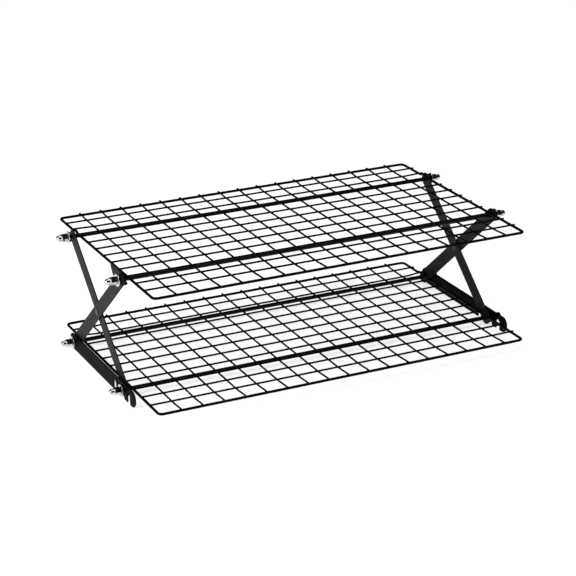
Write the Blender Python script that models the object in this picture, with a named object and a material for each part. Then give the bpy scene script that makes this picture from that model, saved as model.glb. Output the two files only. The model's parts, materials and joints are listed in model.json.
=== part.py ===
"""Two-tier folding cooling rack.

Two welded wire shelves lie on four long round rods. At each end the rods pass through a pair of
flat legs that cross like scissors, and a notched strut hooked over the lower front rod holds the
rack open. Acorn nuts on washers close every rod end.

Frame: X runs along the shelves, +Y to the back, +Z up, the origin on the ground under the middle.
"""
import math

import bmesh
import bpy

# Driving dimensions, in metres.
RIM_LENGTH = 0.457          # shelf length, between the rim wire's centre lines
RIM_DEPTH = 0.280           # shelf depth, the same way
CELLS_ALONG = 18
CELLS_ACROSS = 12
RIM_RADIUS = 0.0016
RIM_CORNER = 0.005
GRID_WIRE = 0.0018          # side of a grid wire's section
LONG_WIRE_TIP = 0.0024      # a long wire's end, measured from the rim's centre line
CROSS_WIRE_TIP = 0.0034     # a front-to-back wire's end, the same way
CROSS_WIRE_RISE = 0.0002    # centre of the front-to-back wires above the rim's centre
LONG_WIRE_RISE = 0.0015     # centre of the long wires above the rim's centre

ROD_RADIUS = 0.0025
ROD_BEVEL = 0.0004
HOLE_RADIUS = 0.0029        # running hole for a rod
GAP = 0.0003                # clearance between neighbours

BAR_WIDTH = 0.016
BAR_THICKNESS = 0.0016
ROD_SPACING = 0.150         # back rod to front rod, rack open
ROD_RISE = 0.130            # lower rods to upper rods, rack open
BACK_ROD_Y = 0.092
UPPER_SHELF_Y = 0.00375     # centre of the upper shelf
LOWER_SHELF_Y = -0.00375    # the lower shelf sits a little further forward

STRUT_ABOVE = 0.011         # strut edge above the rod's axis
STRUT_BELOW = 0.008         # strut edge below the rod's axis
STRUT_TIP = 0.189           # front tip, measured from the back rod
NOTCH_PITCH = 0.020
NOTCH_HALF_WIDTH = 0.004
NOTCH_FLARE = 0.0082        # front lip of the working notch, at the strut's lower edge

RIVET_SHANK_RADIUS = 0.0022
RIVET_HEAD_RADIUS = 0.0040
RIVET_HEAD_HEIGHT = 0.0007
RIVET_FIT = 0.00015         # gap under the outer head

HOOK_LENGTH = 0.043         # the rod hook's upper edge, from the rod's axis backwards
HOOK_FOOT = 0.034           # its lower edge, the same way
HOOK_LIP = 0.004            # how far its lip reaches in front of the axis
HOOK_LIP_HEIGHT = 0.0026
HOOK_SLOT_GAP = 0.0004      # clearance between lip and rod

WASHER_RADIUS = 0.0070
WASHER_THICKNESS = 0.0012
SPACER_RADIUS = 0.0060
NUT_ACROSS_FLATS = 0.008
NUT_CHAMFER = 0.0006
NUT_HEX_LENGTH = 0.0075
NUT_LENGTH = 0.0135
NUT_DOME_RADIUS = 0.0037
NUT_HOLE_DEPTH = 0.0100
ROD_END_IN_NUT = 0.0097

ROUND_SIDES = 12            # facets on rods, rings and holes
ARC_STEPS = 8               # facets on half a turn of an outline
RIM_SIDES = 8
RIM_CORNER_STEPS = 4
DOME_ANGLES = (30, 60, 80)  # facets of a dome, in degrees from its edge

# Worked out from the driving dimensions.
LOWER_Z = STRUT_BELOW
UPPER_Z = LOWER_Z + ROD_RISE
FRONT_ROD_Y = BACK_ROD_Y - ROD_SPACING
LEG_SPAN = math.hypot(ROD_SPACING, ROD_RISE)
LEG_ANGLE = math.atan2(ROD_RISE, ROD_SPACING)
RIM_RISE = ROD_RADIUS + GAP + RIM_RADIUS
MIDDLE_Y = (BACK_ROD_Y + FRONT_ROD_Y) / 2
MIDDLE_Z = (LOWER_Z + UPPER_Z) / 2

# The stack on each rod end, from the shelf outwards.
INNER_LEG_X = RIM_LENGTH / 2 + LONG_WIRE_TIP + GAP
OUTER_LEG_X = INNER_LEG_X + BAR_THICKNESS + GAP
LEG_FACE_X = OUTER_LEG_X + BAR_THICKNESS
STRUT_X = LEG_FACE_X + RIVET_FIT + RIVET_HEAD_HEIGHT + GAP
WASHER_X = STRUT_X + BAR_THICKNESS + GAP
NUT_X = WASHER_X + WASHER_THICKNESS + GAP

SIDES = (("left", -1), ("right", 1))


def clear_scene():
    for item in list(bpy.data.objects):
        bpy.data.objects.remove(item, do_unlink=True)


def make_material(name, colour, roughness, metallic):
    material = bpy.data.materials.new(name)
    material.use_nodes = True
    shader = material.node_tree.nodes["Principled BSDF"]
    shader.inputs["Base Color"].default_value = (*colour, 1.0)
    shader.inputs["Roughness"].default_value = roughness
    shader.inputs["Metallic"].default_value = metallic
    material.diffuse_color = (*colour, 1.0)
    return material


def black_steel(name):
    return make_material(name, (0.022, 0.022, 0.024), 0.42, 0.0)


def chrome(name):
    return make_material(name, (0.78, 0.79, 0.80), 0.12, 1.0)


def make_body(name, y, z):
    """An empty on the axis that the body turns about."""
    empty = bpy.data.objects.new(name, None)
    empty.empty_display_size = 0.02
    empty.location = (0.0, y, z)
    bpy.context.scene.collection.objects.link(empty)
    return empty


def make_piece(name, bm, material, body, place, angle=0.0, round_piece=True):
    """Turn a bmesh into an object under its body; place is in world coordinates."""
    bmesh.ops.recalc_face_normals(bm, faces=bm.faces[:])
    mesh = bpy.data.meshes.new(name)
    bm.to_mesh(mesh)
    bm.free()
    if round_piece:
        mesh.shade_smooth()
        mesh.set_sharp_from_angle(angle=math.radians(35))
    mesh.materials.append(material)
    piece = bpy.data.objects.new(name, mesh)
    bpy.context.scene.collection.objects.link(piece)
    piece.parent = body
    piece.location = [place[i] - body.location[i] for i in range(3)]
    piece.rotation_euler.x = angle
    return piece


def arc(centre_y, centre_z, radius, start, end, steps):
    """Points of an arc in the Y-Z plane, both ends included; angles from +Y towards +Z."""
    points = []
    for i in range(steps + 1):
        a = math.radians(start + (end - start) * i / steps)
        points.append((centre_y + radius * math.cos(a), centre_z + radius * math.sin(a)))
    return points


def circle(centre_y, centre_z, radius):
    return arc(centre_y, centre_z, radius, 0, 360, ROUND_SIDES)[:-1]


def plate(outline, holes, x_low, x_high):
    """A flat plate in the Y-Z plane with holes, from x_low to x_high."""
    bm = bmesh.new()
    edges = []
    for loop in [outline] + holes:
        verts = [bm.verts.new((x_low, y, z)) for y, z in loop]
        edges += [bm.edges.new((verts[i - 1], verts[i])) for i in range(len(verts))]
    bmesh.ops.triangle_fill(bm, edges=edges, use_beauty=True, normal=(1, 0, 0))
    grown = bmesh.ops.extrude_face_region(bm, geom=bm.faces[:])
    moved = [item for item in grown["geom"] if isinstance(item, bmesh.types.BMVert)]
    bmesh.ops.translate(bm, verts=moved, vec=(x_high - x_low, 0, 0))
    return bm


def ring_of(bm, x, radii):
    """A loop of vertices round the X axis, one for each radius given."""
    count = len(radii)
    verts = []
    for i, radius in enumerate(radii):
        a = math.tau * i / count
        verts.append(bm.verts.new((x, radius * math.cos(a), radius * math.sin(a))))
    return verts


def bridge(bm, first, second):
    count = len(first)
    for i in range(count):
        j = (i + 1) % count
        bm.faces.new((first[i], first[j], second[j], second[i]))


def turned(profile, closed):
    """A solid turned about the X axis: (x, radius) pairs, capped at both ends or closed on itself."""
    bm = bmesh.new()
    loops = [ring_of(bm, x, [radius] * ROUND_SIDES) for x, radius in profile]
    for first, second in zip(loops, loops[1:]):
        bridge(bm, first, second)
    if closed:
        bridge(bm, loops[-1], loops[0])
    else:
        bm.faces.new(loops[0])
        bm.faces.new(loops[-1])
    return bm


def flat_ring(radius, x_low, x_high):
    corners = [(x_low, HOLE_RADIUS), (x_low, radius), (x_high, radius), (x_high, HOLE_RADIUS)]
    return turned(corners, closed=True)


def along_x(side, x_low, x_high):
    """The stretch x_low to x_high counted outwards from the middle, on the given side."""
    ends = sorted((side * x_low, side * x_high))
    return ends[0], ends[1]


def box_wires(centres, runs_along_x, z):
    """Separate square wires at the given centres, for a union to join to a rim."""
    bm = bmesh.new()
    for centre in centres:
        box = bmesh.ops.create_cube(bm, size=1.0)["verts"]
        if runs_along_x:
            size = (RIM_LENGTH + 2 * LONG_WIRE_TIP, GRID_WIRE, GRID_WIRE)
            middle = (0.0, centre, z)
        else:
            size = (GRID_WIRE, RIM_DEPTH + 2 * CROSS_WIRE_TIP, GRID_WIRE)
            middle = (centre, 0.0, z)
        bmesh.ops.scale(bm, verts=box, vec=size)
        bmesh.ops.translate(bm, verts=box, vec=middle)
    return bm


def rim_wire():
    """The rim: a round wire bent into a rectangle with rounded corners."""
    half_x = RIM_LENGTH / 2 - RIM_CORNER
    half_y = RIM_DEPTH / 2 - RIM_CORNER
    corners = ((half_x, half_y, 0), (-half_x, half_y, 90), (-half_x, -half_y, 180), (half_x, -half_y, 270))
    bm = bmesh.new()
    loops = []
    for x, y, start in corners:
        for i in range(RIM_CORNER_STEPS + 1):
            a = math.radians(start + 90 * i / RIM_CORNER_STEPS)
            loop = []
            for k in range(RIM_SIDES):
                b = math.tau * (k + 0.5) / RIM_SIDES
                reach = RIM_CORNER + RIM_RADIUS * math.cos(b)
                point = (x + reach * math.cos(a), y + reach * math.sin(a), RIM_RADIUS * math.sin(b))
                loop.append(bm.verts.new(point))
            loops.append(loop)
    for first, second in zip(loops, loops[1:] + loops[:1]):
        bridge(bm, first, second)
    return bm


def make_guide(name, bm, body, place):
    """A hidden shape that a Boolean modifier reads."""
    bmesh.ops.recalc_face_normals(bm, faces=bm.faces[:])
    mesh = bpy.data.meshes.new(name)
    bm.to_mesh(mesh)
    bm.free()
    guide = bpy.data.objects.new(name, mesh)
    bpy.context.scene.collection.objects.link(guide)
    guide.parent = body
    guide.location = [place[i] - body.location[i] for i in range(3)]
    guide.hide_render = True
    guide.display_type = "WIRE"
    return guide


def make_shelf(name, body, centre_y, rod_z):
    """A wire shelf: the rim with both sets of grid wires welded on, as one solid."""
    place = (0.0, centre_y, rod_z + RIM_RISE)
    pitch_x = RIM_LENGTH / CELLS_ALONG
    pitch_y = RIM_DEPTH / CELLS_ACROSS
    across = [pitch_x * (i - CELLS_ALONG / 2) for i in range(1, CELLS_ALONG)]
    along = [pitch_y * (i - CELLS_ACROSS / 2) for i in range(1, CELLS_ACROSS)]
    shelf = make_piece(name, rim_wire(), black_steel(name + "_steel"), body, place)
    cross_wires = make_guide(name + "_cross_wires", box_wires(across, False, CROSS_WIRE_RISE), body, place)
    long_wires = make_guide(name + "_long_wires", box_wires(along, True, LONG_WIRE_RISE), body, place)
    for guide in (cross_wires, long_wires):
        weld = shelf.modifiers.new("weld", "BOOLEAN")
        weld.operation = "UNION"
        weld.solver = "EXACT"
        weld.object = guide
    return shelf


def make_rod(name, body, y, z):
    reach = NUT_X + ROD_END_IN_NUT
    profile = [(-reach, ROD_RADIUS - ROD_BEVEL), (-reach + ROD_BEVEL, ROD_RADIUS)]
    profile += [(-x, radius) for x, radius in reversed(profile)]
    make_piece(name, turned(profile, closed=False), black_steel(name + "_steel"), body, (0.0, y, z))


def dome(x, height, radius):
    """(x, radius) pairs of a dome that starts at x and is that high."""
    angles = [math.radians(angle) for angle in DOME_ANGLES]
    return [(x + height * math.sin(a), radius * math.cos(a)) for a in angles]


def acorn_nut(side):
    """Hexagon, chamfer and dome, with a blind hole that opens towards the washer."""
    corner = NUT_ACROSS_FLATS / math.sqrt(3)
    flat = NUT_ACROSS_FLATS / 2
    hexagon = [corner, flat] * (ROUND_SIDES // 2)
    dome_start = NUT_HEX_LENGTH + NUT_CHAMFER
    sections = [
        (NUT_HOLE_DEPTH, [HOLE_RADIUS] * ROUND_SIDES),
        (0.0, [HOLE_RADIUS] * ROUND_SIDES),
        (0.0, [flat - NUT_CHAMFER / 2] * ROUND_SIDES),
        (NUT_CHAMFER, hexagon),
        (NUT_HEX_LENGTH, hexagon),
        (dome_start, [NUT_DOME_RADIUS] * ROUND_SIDES),
    ]
    for x, radius in dome(dome_start, NUT_LENGTH - dome_start, NUT_DOME_RADIUS):
        sections.append((x, [radius] * ROUND_SIDES))
    bm = bmesh.new()
    loops = [ring_of(bm, side * x, radii) for x, radii in sections]
    for first, second in zip(loops, loops[1:]):
        bridge(bm, first, second)
    bm.faces.new(loops[0])
    bm.faces.new(loops[-1])
    return bm


def make_rod_hardware(label, body, y, z, spacers):
    """Washer, acorn nut and spacers on both ends of one rod; spacers are (name, from, to, radius)."""
    for side_name, side in SIDES:
        where = side_name + "_" + label
        low, high = along_x(side, WASHER_X, WASHER_X + WASHER_THICKNESS)
        washer = flat_ring(WASHER_RADIUS, low, high)
        make_piece(where + "_washer", washer, chrome(where + "_washer_chrome"), body, (0.0, y, z))
        nut = acorn_nut(side)
        make_piece(where + "_nut", nut, chrome(where + "_nut_chrome"), body, (side * NUT_X, y, z))
        for spacer_name, x_from, x_to, radius in spacers:
            low, high = along_x(side, x_from, x_to)
            name = where + "_" + spacer_name
            make_piece(name, flat_ring(radius, low, high), black_steel(name + "_steel"), body, (0.0, y, z))


def leg_outline(low, high):
    """A flat bar with round ends about the points low and high on its own Y axis."""
    radius = BAR_WIDTH / 2
    front_end = arc(high, 0.0, radius, -90, 90, ARC_STEPS)
    back_end = arc(low, 0.0, radius, 90, 270, ARC_STEPS)
    return front_end + back_end


def make_leg(name, body, x_range, start, angle):
    """A leg whose rivet and rod holes lie on its own Y axis; it starts that far from its origin."""
    holes = [circle(start + LEG_SPAN * i / 2, 0.0, HOLE_RADIUS) for i in range(3)]
    bm = plate(leg_outline(start, start + LEG_SPAN), holes, x_range[0], x_range[1])
    make_piece(name, bm, black_steel(name + "_steel"), body, (0.0, *body.location[1:]), angle, False)


def rivet(side):
    """A low-headed rivet through both legs."""
    inner_face = INNER_LEG_X - GAP
    outer_face = LEG_FACE_X + RIVET_FIT
    inner_head = dome(-inner_face, RIVET_HEAD_HEIGHT, RIVET_HEAD_RADIUS)
    shank = [
        (inner_face, RIVET_HEAD_RADIUS),
        (inner_face, RIVET_SHANK_RADIUS),
        (outer_face, RIVET_SHANK_RADIUS),
        (outer_face, RIVET_HEAD_RADIUS),
    ]
    outer_head = dome(outer_face, RIVET_HEAD_HEIGHT, RIVET_HEAD_RADIUS)
    profile = [(-x, radius) for x, radius in reversed(inner_head)] + shank + outer_head
    return turned([(side * x, radius) for x, radius in profile], closed=False)


def notch(centre, mouth):
    """One notch in the strut's lower edge, from its back lip to its front lip; front is -Y."""
    top = arc(centre, 0.0, NOTCH_HALF_WIDTH, 0, 180, ARC_STEPS)
    return [(centre + NOTCH_HALF_WIDTH, -STRUT_BELOW)] + top + [(centre - mouth, -STRUT_BELOW)]


def strut_outline():
    """The lock strut at rest, round its pivot at the back: lower edge with three notches, then back."""
    working = -ROD_SPACING
    end_radius = (STRUT_ABOVE + STRUT_BELOW) / 2
    middle = (STRUT_ABOVE - STRUT_BELOW) / 2
    outline = arc(0.0, middle, end_radius, 90, -90, ARC_STEPS)
    outline += notch(working + NOTCH_PITCH, NOTCH_HALF_WIDTH)
    outline += notch(working, NOTCH_FLARE)
    outline += notch(working - NOTCH_PITCH, NOTCH_HALF_WIDTH)
    outline += arc(end_radius - STRUT_TIP, middle, end_radius, -90, -270, ARC_STEPS)
    return outline


def rod_hook_outline():
    """A hook behind the upper front rod, its lip under the rod; measured from the rod's axis."""
    top = ROD_RADIUS
    lip_top = -ROD_RADIUS - HOOK_SLOT_GAP
    bottom = -BAR_WIDTH / 2
    behind = ROD_RADIUS + HOOK_SLOT_GAP
    return [
        (behind, top),
        (behind, lip_top),
        (-HOOK_LIP, lip_top),
        (-HOOK_LIP, lip_top - HOOK_LIP_HEIGHT),
        (0.0, bottom),
        (HOOK_FOOT, bottom),
        (HOOK_LENGTH, top),
    ]


def main():
    clear_scene()
    base = make_body("base", BACK_ROD_Y, LOWER_Z)
    outer_legs = make_body("outer_legs", BACK_ROD_Y, LOWER_Z)
    inner_legs = make_body("inner_legs", MIDDLE_Y, MIDDLE_Z)
    upper_tier = make_body("upper_tier", BACK_ROD_Y, UPPER_Z)

    make_shelf("lower_wire_shelf", base, LOWER_SHELF_Y, LOWER_Z)
    make_shelf("upper_wire_shelf", upper_tier, UPPER_SHELF_Y, UPPER_Z)

    make_rod("lower_back_rod", base, BACK_ROD_Y, LOWER_Z)
    make_rod("lower_front_rod", inner_legs, FRONT_ROD_Y, LOWER_Z)
    make_rod("upper_back_rod", upper_tier, BACK_ROD_Y, UPPER_Z)
    make_rod("upper_front_rod", outer_legs, FRONT_ROD_Y, UPPER_Z)

    in_inner_leg = ("inner_spacer", INNER_LEG_X, INNER_LEG_X + BAR_THICKNESS, WASHER_RADIUS)
    in_outer_leg = ("outer_spacer", OUTER_LEG_X, STRUT_X - GAP, WASHER_RADIUS)
    over_outer_leg = ("thin_washer", LEG_FACE_X + GAP, STRUT_X - GAP, WASHER_RADIUS)
    to_washer = ("outer_spacer", LEG_FACE_X + GAP, WASHER_X - GAP, SPACER_RADIUS)
    under_washer = ("outer_spacer", STRUT_X, WASHER_X - GAP, SPACER_RADIUS)
    make_rod_hardware("lower_back", base, BACK_ROD_Y, LOWER_Z, [in_inner_leg, over_outer_leg])
    make_rod_hardware("lower_front", inner_legs, FRONT_ROD_Y, LOWER_Z, [in_outer_leg])
    make_rod_hardware("upper_back", upper_tier, BACK_ROD_Y, UPPER_Z, [under_washer])
    make_rod_hardware("upper_front", outer_legs, FRONT_ROD_Y, UPPER_Z, [in_inner_leg, to_washer])

    for side_name, side in SIDES:
        inner = along_x(side, INNER_LEG_X, INNER_LEG_X + BAR_THICKNESS)
        outer = along_x(side, OUTER_LEG_X, LEG_FACE_X)
        make_leg(side_name + "_inner_leg", inner_legs, inner, -LEG_SPAN / 2, LEG_ANGLE)
        make_leg(side_name + "_outer_leg", outer_legs, outer, 0.0, math.pi - LEG_ANGLE)
        rivet_steel = black_steel(side_name + "_pivot_rivet_steel")
        rivet_place = (0.0, MIDDLE_Y, MIDDLE_Z)
        make_piece(side_name + "_pivot_rivet", rivet(side), rivet_steel, outer_legs, rivet_place)
        strut_body = make_body(side_name + "_strut", BACK_ROD_Y, LOWER_Z)
        low, high = along_x(side, STRUT_X, STRUT_X + BAR_THICKNESS)
        strut = plate(strut_outline(), [circle(0.0, 0.0, HOLE_RADIUS)], low, high)
        strut_steel = black_steel(side_name + "_lock_strut_steel")
        strut_place = (0.0, BACK_ROD_Y, LOWER_Z)
        make_piece(side_name + "_lock_strut", strut, strut_steel, strut_body, strut_place, 0.0, False)

    hook_x = along_x(-1, RIM_LENGTH / 2 - BAR_THICKNESS / 2, RIM_LENGTH / 2 + BAR_THICKNESS / 2)
    hook = plate(rod_hook_outline(), [], hook_x[0], hook_x[1])
    hook_place = (0.0, FRONT_ROD_Y, UPPER_Z)
    hook_steel = black_steel("front_rod_hook_steel")
    make_piece("front_rod_hook", hook, hook_steel, upper_tier, hook_place, 0.0, False)


main()
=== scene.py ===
"""The looks of the two-tier folding cooling rack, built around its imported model.

Black powder-coated steel throughout, with chrome washers and acorn nuts on the rod ends. Every
place and outer size of the rack comes from the frame; the named values are its fine shapes only.
"""
import json
import math
import random

import bmesh
import bpy
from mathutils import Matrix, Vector

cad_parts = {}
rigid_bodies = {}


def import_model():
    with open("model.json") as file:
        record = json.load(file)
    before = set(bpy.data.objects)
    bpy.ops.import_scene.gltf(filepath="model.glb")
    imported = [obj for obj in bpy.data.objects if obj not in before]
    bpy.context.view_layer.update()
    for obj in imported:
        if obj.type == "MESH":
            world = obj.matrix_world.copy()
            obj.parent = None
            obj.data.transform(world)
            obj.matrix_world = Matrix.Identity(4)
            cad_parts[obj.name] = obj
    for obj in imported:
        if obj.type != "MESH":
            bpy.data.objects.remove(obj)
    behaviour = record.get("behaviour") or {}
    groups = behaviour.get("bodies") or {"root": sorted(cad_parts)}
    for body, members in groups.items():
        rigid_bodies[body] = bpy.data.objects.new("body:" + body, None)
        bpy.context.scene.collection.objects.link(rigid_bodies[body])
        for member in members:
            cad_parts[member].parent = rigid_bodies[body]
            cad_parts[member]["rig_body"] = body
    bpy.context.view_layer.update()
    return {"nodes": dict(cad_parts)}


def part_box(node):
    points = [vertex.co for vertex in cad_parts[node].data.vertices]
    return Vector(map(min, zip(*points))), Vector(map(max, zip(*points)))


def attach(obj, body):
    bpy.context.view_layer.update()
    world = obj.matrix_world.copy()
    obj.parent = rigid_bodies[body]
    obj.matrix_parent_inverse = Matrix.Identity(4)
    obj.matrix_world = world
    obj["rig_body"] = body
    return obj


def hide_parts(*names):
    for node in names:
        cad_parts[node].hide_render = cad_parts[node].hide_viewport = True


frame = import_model()

# The shelves, in metres. Rises are heights above the rim's centre line.
RIM_RADIUS = 0.0016
RIM_CORNER = 0.005
RIM_FACETS = 16
RIM_CORNER_STEPS = 8
RIM_LONG_SIDE_STEPS = 60
RIM_END_STEPS = 160           # short steps, because the ends are humped
GRID_RADIUS = 0.00112
GRID_FACETS = 10
WIRE_END_ROUNDING = 0.55      # length of a wire's softened end, in radii
CELLS_ALONG = 18
CELLS_ACROSS = 12
STEPS_PER_CELL = 4
LONG_WIRE_TIP = 0.0024        # a long wire's end, past the rim's centre line
CROSS_WIRE_TIP = 0.0034       # a front-to-back wire's end, the same way
TIP_VARIATION = 0.0004        # the most by which a wire's end falls short
LONG_WIRE_RISE = 0.0015
LONG_WIRE_END_RISE = 0.0016   # where the long wires lie on the rim
CROSS_WIRE_RISE = 0.0001      # front-to-back wires, just below the long ones
CROSS_WIRE_END_RISE = 0.0013
ROD_HUMP = 0.0019             # how far the rim's ends rise over the back rod
ROD_HUMP_REACH = 0.0085
RIM_WELDS = (1.2, 1.4)        # smallest and largest weld on the rim, in wire radii
RIM_WELD_FLATNESS = 0.7
RIM_WELD_SINK = 0.4           # how far such a weld lies below its wire's centre, in wire radii
GRID_WELDS = (1.15, 1.35)
GRID_WELD_FLATNESS = 0.8
WELD_FACETS = 10
WELD_LATITUDES = (-66, -36, 0, 36, 66)  # degrees
UNEVENNESS_SEED = 7           # for the welds' sizes and the wires' ends

# Rods, rings and bars, in metres.
HOLE_RADIUS = 0.0029
ROD_BEVEL = 0.0005
ROD_FACETS = 32
RING_BEVEL = 0.00022
RING_BEVEL_SHARE = 0.3        # the most that a bevel takes of a thin ring's width
RING_FACETS = 48
BAR_BEVEL = 0.00028
BAR_END_STEPS = 28
HOLE_STEPS = 36
NOTCH_PITCH = 0.020
NOTCH_HALF_WIDTH = 0.004
NOTCH_FLARE = 0.0082          # the middle notch's mouth, on its front side
NOTCH_STEPS = 20

# Acorn nuts, in metres.
NUT_HEX_SHARE = 0.56          # the hexagon's share of the length
NUT_FACETS = 72
NUT_CHAMFER = 0.0008          # length of the chamfer on the hexagon's top
NUT_BASE_CHAMFER = 0.00048
NUT_BASE_ROUND = 0.955        # the base's round face, in half widths across flats
NUT_TOP_ROUND = 0.93          # the hexagon's round top, the same way
NUT_BASE_STEPS = 5
NUT_TOP_STEPS = 6
NUT_DOME_STEP = 8             # degrees
NUT_NECK_FLARE = 1.03         # the neck's foot, in dome radii
NUT_NECK_START = 0.0002
NUT_NECK_LENGTH = 0.0003
NUT_DOME_RADIUS = 0.0037
NUT_HOLE_DEPTH = 0.0100
NUT_MOUTH_DEPTH = 0.0006      # the countersink at the hole's mouth
NUT_MOUTH_WIDENING = 0.0005

# Rivets, in metres.
RIVET_SHANK_RADIUS = 0.0022
RIVET_HEAD_RISE = 0.0007
RIVET_DOME_SHARE = 0.97       # a head's curve stops just short of its middle, which is flat
RIVET_FACETS = 40

# Texture scales, in waves per metre, and bump heights, in metres.
PATCH_SCALE = 38.0
PEEL_SCALE = 620.0
PEEL_HEIGHT = 0.00010
GRAIN_SCALE = 2600.0
GRAIN_HEIGHT = 0.00003
CLOUD_SCALE = 240.0
SCRATCH_SCALE = 5200.0
SCRATCH_STRETCH = 0.12        # scratches run along X
SCRATCH_HEIGHT = 0.00002

# The studio, in metres.
FLOOR_HALF_SIZE = 40.0
FLOOR_TONE_SCALE = 3.0        # waves per metre
FLOOR_GLOW = 0.72             # keeps the floor white and the shadows faint
OVERHEAD_PLACE = (0.0, 0.0, 2.0)
OVERHEAD_AIM = (-0.15, 0.1, 0.0)
SOFTBOX_PLACE = (-1.0, -0.15, 0.40)
SOFTBOX_AIM = (-0.2, 0.0, 0.08)
SOFTBOX_SIZE = 0.6
CAMERA_AZIMUTH = -26.46       # degrees
CAMERA_ELEVATION = 21.64
CAMERA_DISTANCE = 2.2685
CAMERA_TARGET = (-0.0032, 0.0019, 0.0662)
CAMERA_LENS = 121.83          # millimetres
CAMERA_SENSOR_WIDTH = 36.0    # millimetres

SIDES = (("left", -1), ("right", 1))
# The rings on each rod beside its two washers, by the rod's name.
SPACERS = {
    "lower_back": ("inner_spacer", "thin_washer"),
    "lower_front": ("outer_spacer",),
    "upper_back": ("outer_spacer",),
    "upper_front": ("inner_spacer", "outer_spacer"),
}


# ---------------------------------------------------------------- materials

def noise(nodes, links, coordinates, scale, detail, roughness=0.55):
    """A noise texture in object space; scale is in waves per metre."""
    texture = nodes.new("ShaderNodeTexNoise")
    texture.inputs["Scale"].default_value = scale
    texture.inputs["Detail"].default_value = detail
    texture.inputs["Roughness"].default_value = roughness
    links.new(coordinates.outputs["Object"], texture.inputs["Vector"])
    return texture


def ramp(nodes, links, source, low, high):
    """A colour ramp from low to high, each (position, grey or colour)."""
    node = nodes.new("ShaderNodeValToRGB")
    for element, (position, value) in zip(node.color_ramp.elements, (low, high)):
        colour = value if isinstance(value, tuple) else (value, value, value)
        element.position = position
        element.color = (*colour, 1.0)
    links.new(source, node.inputs["Fac"])
    return node


def bump(nodes, links, height, strength, distance):
    node = nodes.new("ShaderNodeBump")
    node.inputs["Strength"].default_value = strength
    node.inputs["Distance"].default_value = distance
    links.new(height, node.inputs["Height"])
    return node


def start_material(name):
    material = bpy.data.materials.new(name)
    material.use_nodes = True
    nodes = material.node_tree.nodes
    links = material.node_tree.links
    shader = nodes["Principled BSDF"]
    coordinates = nodes.new("ShaderNodeTexCoord")
    return material, nodes, links, shader, coordinates


def powder_coat(name, greys, roughness, peel, specular):
    """Black powder coat: an orange-peel surface, a fine grain, and uneven colour and gloss.

    greys and roughness are each a lowest and a highest value; peel scales the surface's relief.
    """
    material, nodes, links, shader, coordinates = start_material(name)
    patches = noise(nodes, links, coordinates, PATCH_SCALE, 4.0)
    grain = noise(nodes, links, coordinates, GRAIN_SCALE, 2.0)
    orange_peel = noise(nodes, links, coordinates, PEEL_SCALE, 3.0, 0.45)

    blend = nodes.new("ShaderNodeMix")
    blend.data_type = "FLOAT"
    blend.inputs["Factor"].default_value = 0.35
    links.new(patches.outputs["Fac"], blend.inputs["A"])
    links.new(grain.outputs["Fac"], blend.inputs["B"])
    colour = ramp(nodes, links, blend.outputs["Result"], (0.30, greys[0]), (0.72, greys[1]))
    links.new(colour.outputs["Color"], shader.inputs["Base Color"])
    gloss = ramp(nodes, links, orange_peel.outputs["Fac"], (0.25, roughness[0]), (0.78, roughness[1]))
    links.new(gloss.outputs["Color"], shader.inputs["Roughness"])

    peel_bump = bump(nodes, links, orange_peel.outputs["Fac"], 0.55 * peel, PEEL_HEIGHT)
    grain_bump = bump(nodes, links, grain.outputs["Fac"], 0.30 * peel, GRAIN_HEIGHT)
    links.new(peel_bump.outputs["Normal"], grain_bump.inputs["Normal"])
    links.new(grain_bump.outputs["Normal"], shader.inputs["Normal"])
    shader.inputs["Metallic"].default_value = 0.0
    shader.inputs["IOR"].default_value = 1.5
    shader.inputs["Specular IOR Level"].default_value = specular
    return material


def chrome_plate(name, tint, roughness):
    """Bright plate over steel, with faint cloudiness and hairline scratches."""
    material, nodes, links, shader, coordinates = start_material(name)
    clouds = noise(nodes, links, coordinates, CLOUD_SCALE, 4.0)
    stretch = nodes.new("ShaderNodeMapping")
    stretch.inputs["Scale"].default_value = (SCRATCH_STRETCH, 1.0, 1.0)
    links.new(coordinates.outputs["Object"], stretch.inputs["Vector"])
    scratches = nodes.new("ShaderNodeTexNoise")
    scratches.inputs["Scale"].default_value = SCRATCH_SCALE
    scratches.inputs["Detail"].default_value = 2.0
    links.new(stretch.outputs["Vector"], scratches.inputs["Vector"])

    deep = tuple(0.90 * channel for channel in tint)
    colour = ramp(nodes, links, clouds.outputs["Fac"], (0.30, deep), (0.70, tint))
    links.new(colour.outputs["Color"], shader.inputs["Base Color"])
    gloss = ramp(nodes, links, clouds.outputs["Fac"], (0.35, roughness[0]), (0.75, roughness[1]))
    links.new(gloss.outputs["Color"], shader.inputs["Roughness"])
    scratch_bump = bump(nodes, links, scratches.outputs["Fac"], 0.10, SCRATCH_HEIGHT)
    links.new(scratch_bump.outputs["Normal"], shader.inputs["Normal"])
    shader.inputs["Metallic"].default_value = 1.0
    return material


MATERIALS = {
    "shelf_wire": powder_coat("shelf_wire_coat", (0.0010, 0.0030), (0.42, 0.58), peel=0.7, specular=0.05),
    "rod": powder_coat("rod_coat", (0.0020, 0.0050), (0.36, 0.50), peel=0.7, specular=0.12),
    "leg_bar": powder_coat("leg_bar_coat", (0.0065, 0.0190), (0.40, 0.54), peel=1.0, specular=0.05),
    # The strut's coat is the same black powder coat as the legs. It is painted darker and duller, in colour
    # and gloss, as painted shade for the strut's place low by the floor.
    "strut_bar": powder_coat("shade_darkened_strut_coat", (0.0010, 0.0040), (0.40, 0.54), peel=1.0, specular=0.012),
    "rivet": powder_coat("rivet_coat", (0.0060, 0.0120), (0.24, 0.36), peel=0.6, specular=0.25),
    "hook": powder_coat("hook_coat", (0.0050, 0.0120), (0.40, 0.54), peel=1.0, specular=0.05),
    "spacer": powder_coat("spacer_coat", (0.0016, 0.0045), (0.36, 0.50), peel=0.6, specular=0.08),
    "nut_chrome": chrome_plate("nut_chrome_plate", (0.58, 0.59, 0.61), (0.045, 0.11)),
    "washer_chrome": chrome_plate("washer_chrome_plate", (0.56, 0.57, 0.59), (0.07, 0.16)),
}


# ---------------------------------------------------------------- building pieces

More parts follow.
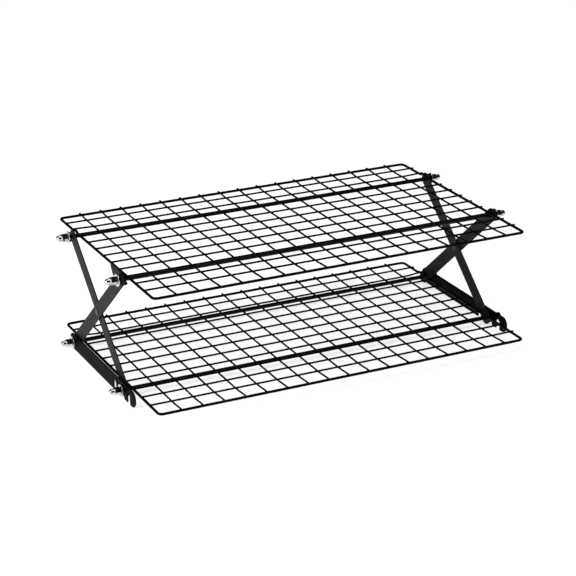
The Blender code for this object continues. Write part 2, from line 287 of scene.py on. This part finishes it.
def finish_piece(name, bm, slot, node, bevel=0.0, sharp=35.0):
    """Make the object, with its finish; it rides on its CAD node's body and stands for that node."""
    bmesh.ops.recalc_face_normals(bm, faces=bm.faces[:])
    mesh = bpy.data.meshes.new(name)
    bm.to_mesh(mesh)
    bm.free()
    mesh.shade_smooth()
    mesh.set_sharp_from_angle(angle=math.radians(sharp))
    mesh.materials.append(MATERIALS[slot])
    piece = bpy.data.objects.new(name, mesh)
    bpy.context.scene.collection.objects.link(piece)
    if bevel:
        edges = piece.modifiers.new("rounded_edges", "BEVEL")
        edges.width = bevel
        edges.segments = 3
        edges.limit_method = "ANGLE"
        edges.angle_limit = math.radians(40)
        edges.harden_normals = True
    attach(piece, frame["nodes"][node]["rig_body"])
    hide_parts(node)


def middle_of(node):
    low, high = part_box(node)
    return (low + high) / 2


def bridge(bm, first, second):
    count = len(first)
    for i in range(count):
        j = (i + 1) % count
        bm.faces.new((first[i], first[j], second[j], second[i]))


def ring_of(bm, centre, x, radii):
    """A loop round the X direction through centre, at x, with one radius for each vertex."""
    verts = []
    for i, radius in enumerate(radii):
        a = math.tau * i / len(radii)
        spot = (x, centre.y + radius * math.cos(a), centre.z + radius * math.sin(a))
        verts.append(bm.verts.new(spot))
    return verts


def turned(profile, centre, facets, closed=False):
    """A solid turned about the X direction through centre, from (x, radius) pairs."""
    bm = bmesh.new()
    loops = [ring_of(bm, centre, x, [radius] * facets) for x, radius in profile]
    for first, second in zip(loops, loops[1:]):
        bridge(bm, first, second)
    if closed:
        bridge(bm, loops[-1], loops[0])
    else:
        bm.faces.new(loops[0])
        bm.faces.new(loops[-1])
    return bm


def tube(bm, points, radius, facets, closed=False):
    """A round wire along the points, which stay close to horizontal; an open one has softened ends."""
    count = len(points)
    loops = []
    for i, point in enumerate(points):
        if closed:
            ahead, behind = points[(i + 1) % count], points[i - 1]
        else:
            ahead, behind = points[min(i + 1, count - 1)], points[max(i - 1, 0)]
        along = (ahead - behind).normalized()
        sideways = along.cross(Vector((0, 0, 1))).normalized()
        upwards = sideways.cross(along)
        loops.append((point, along, sideways, upwards, radius))
    if not closed:
        loops = rounded_end(loops[0], -1)[::-1] + loops[1:-1] + rounded_end(loops[-1], 1)
    rings = []
    for point, _along, sideways, upwards, size in loops:
        ring = []
        for k in range(facets):
            a = math.tau * (k + 0.5) / facets
            outwards = math.cos(a) * sideways + math.sin(a) * upwards
            ring.append(bm.verts.new(point + size * outwards))
        rings.append(ring)
    for first, second in zip(rings, rings[1:]):
        bridge(bm, first, second)
    if closed:
        bridge(bm, rings[-1], rings[0])
    else:
        bm.faces.new(rings[0])
        bm.faces.new(rings[-1])


def rounded_end(loop, direction):
    """The last few rings of a wire, where its cut end is softened by the coating."""
    point, along, sideways, upwards, radius = loop
    rings = []
    for angle in (0, 30, 55, 78):
        a = math.radians(angle)
        back = WIRE_END_ROUNDING * radius * (1 - math.sin(a))
        size = radius * math.cos(a) ** 0.5
        rings.append((point - direction * back * along, along, sideways, upwards, size))
    return rings


def arc(centre_y, centre_z, radius, start, end, steps):
    """Points of an arc in the Y-Z plane, both ends included; angles from +Y towards +Z."""
    points = []
    for i in range(steps + 1):
        a = math.radians(start + (end - start) * i / steps)
        points.append((centre_y + radius * math.cos(a), centre_z + radius * math.sin(a)))
    return points


def plate(outline, holes, x_low, x_high):
    """A flat bar in the Y-Z plane with holes, from x_low to x_high."""
    bm = bmesh.new()
    edges = []
    for loop in [outline] + holes:
        verts = [bm.verts.new((x_low, y, z)) for y, z in loop]
        edges += [bm.edges.new((verts[i - 1], verts[i])) for i in range(len(verts))]
    bmesh.ops.triangle_fill(bm, edges=edges, use_beauty=True, normal=(1, 0, 0))
    grown = bmesh.ops.extrude_face_region(bm, geom=bm.faces[:])
    moved = [item for item in grown["geom"] if isinstance(item, bmesh.types.BMVert)]
    bmesh.ops.translate(bm, verts=moved, vec=(x_high - x_low, 0, 0))
    return bm


# ---------------------------------------------------------------- shelves

def smooth_step(t):
    t = min(1.0, max(0.0, t))
    return t * t * (3 - 2 * t)


def build_shelf(node, back_rod):
    """A welded shelf: the rim, the long wires, the cross wires just under them, and every weld."""
    low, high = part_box(node)
    middle = (low + high) / 2
    rim_z = low.z + RIM_RADIUS
    half_x = (high.x - low.x) / 2 - LONG_WIRE_TIP
    half_y = (high.y - low.y) / 2 - CROSS_WIRE_TIP
    pitch_x = 2 * half_x / CELLS_ALONG
    pitch_y = 2 * half_y / CELLS_ACROSS
    rod_y = middle_of(back_rod).y - middle.y

    def at(x, y, rise):
        return Vector((middle.x + x, middle.y + y, rim_z + rise))

    def hump(x, y):
        """The rim's ends are bent up a little where they pass over the back rod."""
        if abs(x) < half_x - RIM_CORNER or abs(y - rod_y) > ROD_HUMP_REACH:
            return 0.0
        return ROD_HUMP * math.cos(math.pi / 2 * (y - rod_y) / ROD_HUMP_REACH) ** 2

    bm = bmesh.new()
    rim = [at(x, y, hump(x, y)) for x, y in rim_path(half_x, half_y)]
    tube(bm, rim, RIM_RADIUS, RIM_FACETS, closed=True)
    draw = random.Random(UNEVENNESS_SEED)
    lines_x = [pitch_x * (i - CELLS_ALONG / 2) for i in range(1, CELLS_ALONG)]
    lines_y = [pitch_y * (j - CELLS_ACROSS / 2) for j in range(1, CELLS_ACROSS)]
    for y in lines_y:
        points = []
        for x in stations(half_x, pitch_x, CELLS_ALONG, LONG_WIRE_TIP, draw):
            end = 1 - smooth_step((half_x - abs(x)) / pitch_x)
            rise = LONG_WIRE_RISE + (LONG_WIRE_END_RISE + hump(half_x, y) - LONG_WIRE_RISE) * end
            points.append(at(x, y, rise))
        tube(bm, points, GRID_RADIUS, GRID_FACETS)
        for x in (-half_x, half_x):
            place = at(x, y, LONG_WIRE_END_RISE + hump(x, y) - GRID_RADIUS * RIM_WELD_SINK)
            add_weld(bm, place, GRID_RADIUS * draw.uniform(*RIM_WELDS), RIM_WELD_FLATNESS)
    for x in lines_x:
        points = []
        for y in stations(half_y, pitch_y, CELLS_ACROSS, CROSS_WIRE_TIP, draw):
            end = 1 - smooth_step((half_y - abs(y)) / pitch_y)
            points.append(at(x, y, CROSS_WIRE_RISE + (CROSS_WIRE_END_RISE - CROSS_WIRE_RISE) * end))
        tube(bm, points, GRID_RADIUS, GRID_FACETS)
        for y in (-half_y, half_y):
            place = at(x, y, CROSS_WIRE_END_RISE - GRID_RADIUS * RIM_WELD_SINK)
            add_weld(bm, place, GRID_RADIUS * draw.uniform(*RIM_WELDS), RIM_WELD_FLATNESS)
        for y in lines_y:
            place = at(x, y, (LONG_WIRE_RISE + CROSS_WIRE_RISE) / 2)
            add_weld(bm, place, GRID_RADIUS * draw.uniform(*GRID_WELDS), GRID_WELD_FLATNESS)
    finish_piece(node + "_welded", bm, "shelf_wire", node, sharp=60)


def stations(half, pitch, cells, tip, draw):
    """Places along a grid wire: its two ends, a little uneven, and an even spacing between the rims."""
    inner = [-half + pitch * k / STEPS_PER_CELL for k in range(cells * STEPS_PER_CELL + 1)]
    first, last = (tip - draw.uniform(0.0, TIP_VARIATION) for _ in range(2))
    return [-half - first] + inner + [half + last]


def rim_path(half_x, half_y):
    """The rim's centre line as (x, y): straight stretches in short steps and four rounded corners."""
    corner_x = half_x - RIM_CORNER
    corner_y = half_y - RIM_CORNER
    corners = (
        (corner_x, corner_y, 0),
        (-corner_x, corner_y, 90),
        (-corner_x, -corner_y, 180),
        (corner_x, -corner_y, 270),
    )
    points = []
    for index, (x, y, start) in enumerate(corners):
        for i in range(RIM_CORNER_STEPS + 1):
            a = math.radians(start + 90 * i / RIM_CORNER_STEPS)
            points.append((x + RIM_CORNER * math.cos(a), y + RIM_CORNER * math.sin(a)))
        next_x, next_y, next_start = corners[(index + 1) % 4]
        goal_a = math.radians(next_start)
        goal = (next_x + RIM_CORNER * math.cos(goal_a), next_y + RIM_CORNER * math.sin(goal_a))
        begin = points[-1]
        count = RIM_LONG_SIDE_STEPS if index % 2 == 0 else RIM_END_STEPS
        for i in range(1, count):
            t = i / count
            points.append((begin[0] + (goal[0] - begin[0]) * t, begin[1] + (goal[1] - begin[1]) * t))
    return points


def add_weld(bm, place, radius, flatness):
    """A small squashed bead where two wires are welded."""
    loops = []
    for latitude in WELD_LATITUDES:
        a = math.radians(latitude)
        level = place.z + radius * flatness * math.sin(a)
        reach = radius * math.cos(a)
        loop = []
        for k in range(WELD_FACETS):
            b = math.tau * k / WELD_FACETS
            loop.append(bm.verts.new((place.x + reach * math.cos(b), place.y + reach * math.sin(b), level)))
        loops.append(loop)
    for first, second in zip(loops, loops[1:]):
        bridge(bm, first, second)
    bm.faces.new(loops[0])
    bm.faces.new(loops[-1])


# ---------------------------------------------------------------- rods and what sits on their ends

def build_rod(label):
    """A long rod, each end bevelled in two slopes."""
    node = label + "_rod"
    low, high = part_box(node)
    radius = (high.z - low.z) / 2
    profile = [
        (low.x, radius - ROD_BEVEL),
        (low.x + ROD_BEVEL * 0.3, radius - ROD_BEVEL * 0.4),
        (low.x + ROD_BEVEL, radius),
    ]
    profile += [(-x, r) for x, r in reversed(profile)]
    finish_piece(node + "_coated", turned(profile, middle_of(node), ROD_FACETS), "rod", node)


def build_ring(node, slot):
    """A washer or a spacer, its edges slightly rounded."""
    low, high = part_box(node)
    radius = (high.z - low.z) / 2
    profile = [(low.x, HOLE_RADIUS), (low.x, radius), (high.x, radius), (high.x, HOLE_RADIUS)]
    bevel = min(RING_BEVEL, (high.x - low.x) * RING_BEVEL_SHARE)
    bm = turned(profile, middle_of(node), RING_FACETS, closed=True)
    finish_piece(node + "_round", bm, slot, node, bevel)


def hexagon_radius(angle, across_flats):
    """Distance from the axis to a hexagon's flat, at an angle in degrees from one corner."""
    return across_flats / 2 / math.cos(math.radians((angle % 60) - 30))


def build_nut(node, side):
    """Acorn nut: a hexagon with both ends chamfered by a cone, a neck, a dome and a blind hole.

    Its sections run from the hole's bottom out to the base and on to the top of the dome.
    """
    low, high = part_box(node)
    centre = middle_of(node)
    length = high.x - low.x
    base_x = low.x if side > 0 else high.x
    across_flats = high.z - low.z
    corner = across_flats / math.sqrt(3)
    hex_length = length * NUT_HEX_SHARE
    sections = []

    def round_section(x, radius):
        sections.append((x, [radius] * NUT_FACETS))

    def cut_hexagon(x, limit):
        angles = [360 * i / NUT_FACETS for i in range(NUT_FACETS)]
        sections.append((x, [min(hexagon_radius(angle, across_flats), limit) for angle in angles]))

    round_section(NUT_HOLE_DEPTH, HOLE_RADIUS)
    round_section(NUT_MOUTH_DEPTH, HOLE_RADIUS)
    round_section(0.0, HOLE_RADIUS + NUT_MOUTH_WIDENING)
    base_radius = across_flats / 2 * NUT_BASE_ROUND
    for k in range(NUT_BASE_STEPS + 1):
        t = k / NUT_BASE_STEPS
        cut_hexagon(NUT_BASE_CHAMFER * t, base_radius + (corner - base_radius) * t)
    top_radius = across_flats / 2 * NUT_TOP_ROUND
    for k in range(NUT_TOP_STEPS + 1):
        t = k / NUT_TOP_STEPS
        cut_hexagon(hex_length - NUT_CHAMFER * (1 - t), corner - (corner - top_radius) * t)
    neck_x = hex_length + NUT_NECK_START
    round_section(neck_x, NUT_DOME_RADIUS * NUT_NECK_FLARE)
    round_section(neck_x + NUT_NECK_LENGTH, NUT_DOME_RADIUS)
    for angle in range(0, 90, NUT_DOME_STEP):
        a = math.radians(angle)
        round_section(length - NUT_DOME_RADIUS * (1 - math.sin(a)), NUT_DOME_RADIUS * math.cos(a))
    bm = bmesh.new()
    loops = [ring_of(bm, centre, base_x + side * x, radii) for x, radii in sections]
    for first, second in zip(loops, loops[1:]):
        bridge(bm, first, second)
    bm.faces.new(loops[0])
    bm.faces.new(loops[-1])
    finish_piece(node + "_plated", bm, "nut_chrome", node, sharp=28)


def build_rod_hardware(label):
    for side_name, side in SIDES:
        where = side_name + "_" + label
        build_nut(where + "_nut", side)
        build_ring(where + "_washer", "washer_chrome")
        for spacer in SPACERS[label]:
            build_ring(where + "_" + spacer, "spacer")


# ---------------------------------------------------------------- flat bars and rivets

def turn_towards(points, origin, target):
    """Turn points drawn along +Y from (0, 0) so that they run from origin to target."""
    along = (target - origin).normalized()
    turned_points = []
    for y, z in points:
        spot = (origin.y + y * along.y - z * along.z, origin.z + y * along.z + z * along.y)
        turned_points.append(spot)
    return turned_points


def round_hole(centre_y, centre_z):
    return arc(centre_y, centre_z, HOLE_RADIUS, 0, 360, HOLE_STEPS)[:-1]


def build_leg(node, start_rod, end_rod):
    """A leg between two rods, with round ends, two rod holes and the rivet's hole."""
    low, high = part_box(node)
    start = middle_of(start_rod + "_rod")
    end = middle_of(end_rod + "_rod")
    radius = start.z - low.z
    span = math.hypot(end.y - start.y, end.z - start.z)
    outline = arc(span, 0.0, radius, -90, 90, BAR_END_STEPS) + arc(0.0, 0.0, radius, 90, 270, BAR_END_STEPS)
    flat_start = Vector((0.0, start.y, start.z))
    flat_end = Vector((0.0, end.y, end.z))
    holes = [turn_towards(round_hole(span * k / 2, 0.0), flat_start, flat_end) for k in range(3)]
    bm = plate(turn_towards(outline, flat_start, flat_end), holes, low.x, high.x)
    finish_piece(node + "_bar", bm, "leg_bar", node, BAR_BEVEL)


def build_strut(node):
    """The lock strut: pivot hole at the back, three notches near the front, round ends."""
    low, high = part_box(node)
    pivot = middle_of("lower_back_rod")
    hooked = middle_of("lower_front_rod").y
    half = (high.z - low.z) / 2
    level = low.z + half
    outline = arc(pivot.y, level, half, 90, -90, BAR_END_STEPS)
    for place, mouth in ((1, NOTCH_HALF_WIDTH), (0, NOTCH_FLARE), (-1, NOTCH_HALF_WIDTH)):
        centre = hooked + place * NOTCH_PITCH
        outline.append((centre + NOTCH_HALF_WIDTH, low.z))
        outline += arc(centre, pivot.z, NOTCH_HALF_WIDTH, 0, 180, NOTCH_STEPS)
        outline.append((centre - mouth, low.z))
    outline += arc(low.y + half, level, half, -90, -270, BAR_END_STEPS)
    bm = plate(outline, [round_hole(pivot.y, pivot.z)], low.x, high.x)
    finish_piece(node + "_bar", bm, "strut_bar", node, BAR_BEVEL)


def build_rivet(node, side):
    """A rivet with a low domed head on each face."""
    low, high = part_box(node)
    head = (high.z - low.z) / 2
    inner = (low.x if side > 0 else high.x) + side * RIVET_HEAD_RISE
    outer = (high.x if side > 0 else low.x) - side * RIVET_HEAD_RISE

    def domed(face_x, outwards):
        """A head's curve, from its middle to its edge."""
        curve = []
        for angle in range(90, 0, -10):
            height = RIVET_HEAD_RISE * math.sin(math.radians(angle))
            radius = head * math.cos(math.radians(angle * RIVET_DOME_SHARE))
            curve.append((face_x + outwards * height, radius))
        return curve

    profile = domed(inner, -side)
    profile += [(inner, head), (inner, RIVET_SHANK_RADIUS), (outer, RIVET_SHANK_RADIUS), (outer, head)]
    profile += reversed(domed(outer, side))
    finish_piece(node + "_domed", turned(profile, middle_of(node), RIVET_FACETS), "rivet", node)


def build_hook():
    """The hook that hangs from the upper rim behind the front rod, its lip under the rod."""
    node = "front_rod_hook"
    low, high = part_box(node)
    rod_low, rod_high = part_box("upper_front_rod")
    rod = (rod_low + rod_high) / 2
    clearance = 0.0005
    inside_radius = (rod_high.z - rod_low.z) / 2 + clearance
    lip_radius = 0.0014
    lip_y = low.y + 0.0015
    foot_start = rod.y + 0.001
    foot_end = high.y - 0.010
    heel_radius = 0.0012
    heel_y = high.y - 0.0085
    corner = 0.0008
    outline = [(rod.y + inside_radius, high.z)]
    outline += arc(rod.y, rod.z, inside_radius, 0, -80, 12)
    outline += arc(lip_y, rod.z - inside_radius - lip_radius, lip_radius, 90, 270, 10)
    outline += [(foot_start, low.z), (foot_end, low.z)]
    outline += arc(heel_y, low.z + heel_radius, heel_radius, -90, -50, 4)
    outline += [(high.y - corner, high.z - corner), (high.y - 1.5 * corner, high.z)]
    finish_piece(node + "_plate", plate(outline, [], low.x, high.x), "hook", node, BAR_BEVEL)


def build_rack():
    build_shelf("upper_wire_shelf", "upper_back_rod")
    build_shelf("lower_wire_shelf", "lower_back_rod")
    for label in SPACERS:
        build_rod(label)
        build_rod_hardware(label)
    for side_name, side in SIDES:
        build_leg(side_name + "_inner_leg", "lower_front", "upper_back")
        build_leg(side_name + "_outer_leg", "lower_back", "upper_front")
        build_strut(side_name + "_lock_strut")
        build_rivet(side_name + "_pivot_rivet", side)
    build_hook()


# ---------------------------------------------------------------- studio

def make_floor():
    """A plain pale floor."""
    bm = bmesh.new()
    bmesh.ops.create_grid(bm, x_segments=8, y_segments=8, size=FLOOR_HALF_SIZE)
    mesh = bpy.data.meshes.new("floor")
    bm.to_mesh(mesh)
    bm.free()
    material, nodes, links, shader, coordinates = start_material("pale_floor")
    tone = noise(nodes, links, coordinates, FLOOR_TONE_SCALE, 2.0)
    colour = ramp(nodes, links, tone.outputs["Fac"], (0.2, 0.90), (0.8, 0.92))
    links.new(colour.outputs["Color"], shader.inputs["Base Color"])
    shader.inputs["Roughness"].default_value = 0.9
    shader.inputs["Specular IOR Level"].default_value = 0.1
    shader.inputs["Emission Color"].default_value = (1.0, 1.0, 1.0, 1.0)
    shader.inputs["Emission Strength"].default_value = FLOOR_GLOW
    mesh.materials.append(material)
    floor = bpy.data.objects.new("floor", mesh)
    bpy.context.scene.collection.objects.link(floor)


def make_world(grey):
    world = bpy.data.worlds.new("studio")
    world.use_nodes = True
    background = world.node_tree.nodes["Background"]
    background.inputs["Color"].default_value = (grey, grey, grey, 1.0)
    background.inputs["Strength"].default_value = 1.0
    bpy.context.scene.world = world


def aim(item, target):
    item.rotation_euler = (Vector(target) - item.location).to_track_quat("-Z", "Y").to_euler()


def make_overhead_light(spread, irradiance):
    """A large round light overhead, which lights the whole floor evenly; spread in degrees.

    It shines from OVERHEAD_PLACE towards OVERHEAD_AIM, and only that direction counts.
    """
    lamp = bpy.data.lights.new("overhead_softbox", "SUN")
    lamp.angle = math.radians(spread)
    lamp.energy = irradiance
    item = bpy.data.objects.new("overhead_softbox", lamp)
    item.location = OVERHEAD_PLACE
    bpy.context.scene.collection.objects.link(item)
    aim(item, OVERHEAD_AIM)


def make_left_softbox(power):
    lamp = bpy.data.lights.new("left_softbox", "AREA")
    lamp.shape = "SQUARE"
    lamp.size = SOFTBOX_SIZE
    lamp.energy = power
    item = bpy.data.objects.new("left_softbox", lamp)
    item.location = SOFTBOX_PLACE
    bpy.context.scene.collection.objects.link(item)
    aim(item, SOFTBOX_AIM)
    item.visible_camera = False


def make_camera():
    """The camera stands to the front left and looks down."""
    target = Vector(CAMERA_TARGET)
    a = math.radians(CAMERA_AZIMUTH)
    e = math.radians(CAMERA_ELEVATION)
    away = Vector((math.sin(a) * math.cos(e), -math.cos(a) * math.cos(e), math.sin(e)))
    lens = bpy.data.cameras.new("camera")
    lens.sensor_width = CAMERA_SENSOR_WIDTH
    lens.lens = CAMERA_LENS
    camera = bpy.data.objects.new("camera", lens)
    camera.location = target + CAMERA_DISTANCE * away
    bpy.context.scene.collection.objects.link(camera)
    aim(camera, target)
    bpy.context.scene.camera = camera


def make_studio():
    make_floor()
    make_world(grey=0.015)
    make_overhead_light(spread=56.0, irradiance=1.05)
    make_left_softbox(power=5.0)
    bpy.context.scene.view_settings.view_transform = "Standard"


build_rack()
make_studio()
make_camera()
